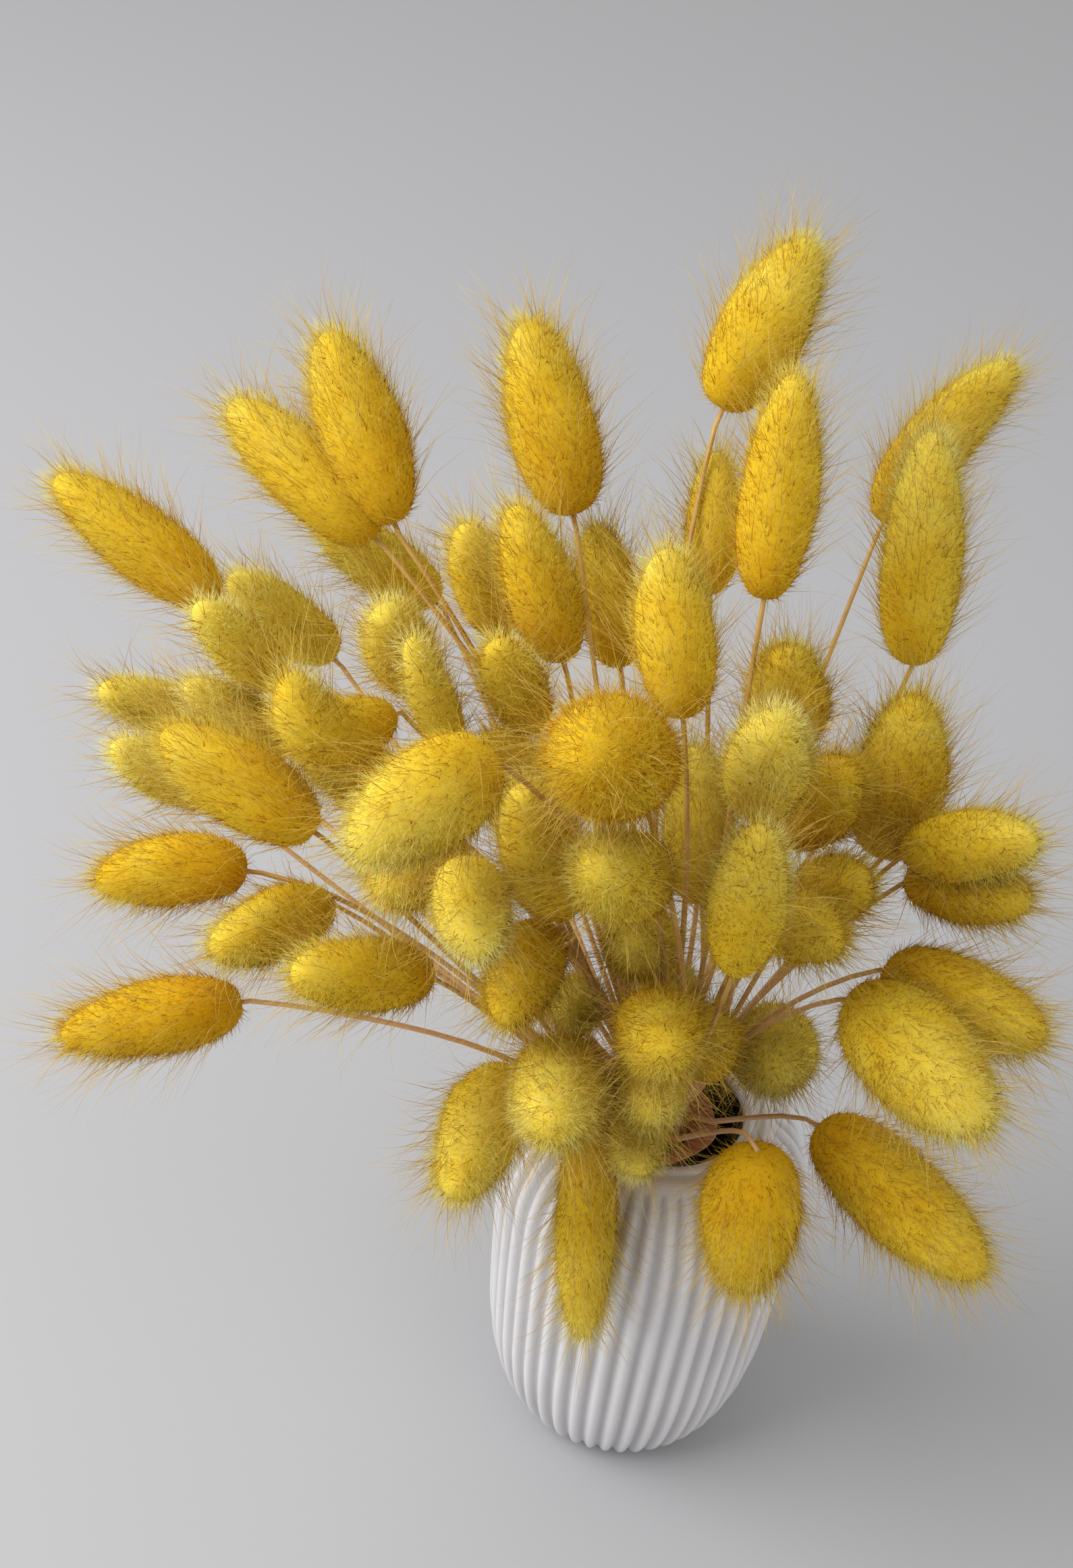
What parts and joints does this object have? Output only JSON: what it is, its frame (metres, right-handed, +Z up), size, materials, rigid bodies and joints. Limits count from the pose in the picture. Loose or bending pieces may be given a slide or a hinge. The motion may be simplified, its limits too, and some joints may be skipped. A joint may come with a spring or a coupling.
{
  "type": "dried grass bunch in a vase",
  "caption": "Bunch of dyed dried bunny tail grass, soft tufted seed heads on thin stems, standing in a small fluted white vase.",
  "frame": {"origin": "centre of the vase's flat foot, on the surface that the vase stands on", "axes": "+Z up through the vase's mouth, +Y away from the side that the picture is taken from"},
  "size_m": [0.2525, 0.2204, 0.3045],
  "materials": {
    "glaze": "satin",
    "straw": "matte",
    "seed_head": "matte"
  },
  "bodies": {
    "root": {"vase": "glaze", "stems": "straw", "head_01": "seed_head", "head_02": "seed_head", "head_03_04": "seed_head", "head_05": "seed_head", "head_06": "seed_head", "head_07": "seed_head", "head_08": "seed_head", "head_09": "seed_head", "head_10": "seed_head", "head_11": "seed_head", "head_12": "seed_head", "head_13": "seed_head", "head_14": "seed_head", "head_15": "seed_head", "head_16": "seed_head", "head_17": "seed_head", "head_18": "seed_head", "head_19": "seed_head", "head_20": "seed_head", "head_21": "seed_head", "head_22": "seed_head", "head_23": "seed_head", "head_24": "seed_head", "head_25": "seed_head", "head_26": "seed_head", "head_27": "seed_head", "head_28": "seed_head", "head_29": "seed_head", "head_30": "seed_head", "head_31": "seed_head", "head_32": "seed_head", "head_33": "seed_head", "head_34": "seed_head", "head_35": "seed_head", "head_36": "seed_head", "head_37": "seed_head", "head_38_39": "seed_head", "head_40": "seed_head", "head_41_42": "seed_head", "head_43_44": "seed_head", "head_45": "seed_head", "head_46": "seed_head", "head_47": "seed_head", "head_48": "seed_head", "head_49": "seed_head", "head_50": "seed_head", "head_51": "seed_head", "head_52": "seed_head", "head_53": "seed_head", "head_54": "seed_head", "head_55": "seed_head", "head_56": "seed_head", "head_57": "seed_head", "head_58": "seed_head", "head_59": "seed_head", "head_60": "seed_head", "head_61": "seed_head", "head_62": "seed_head"}
  },
  "joints": []
}
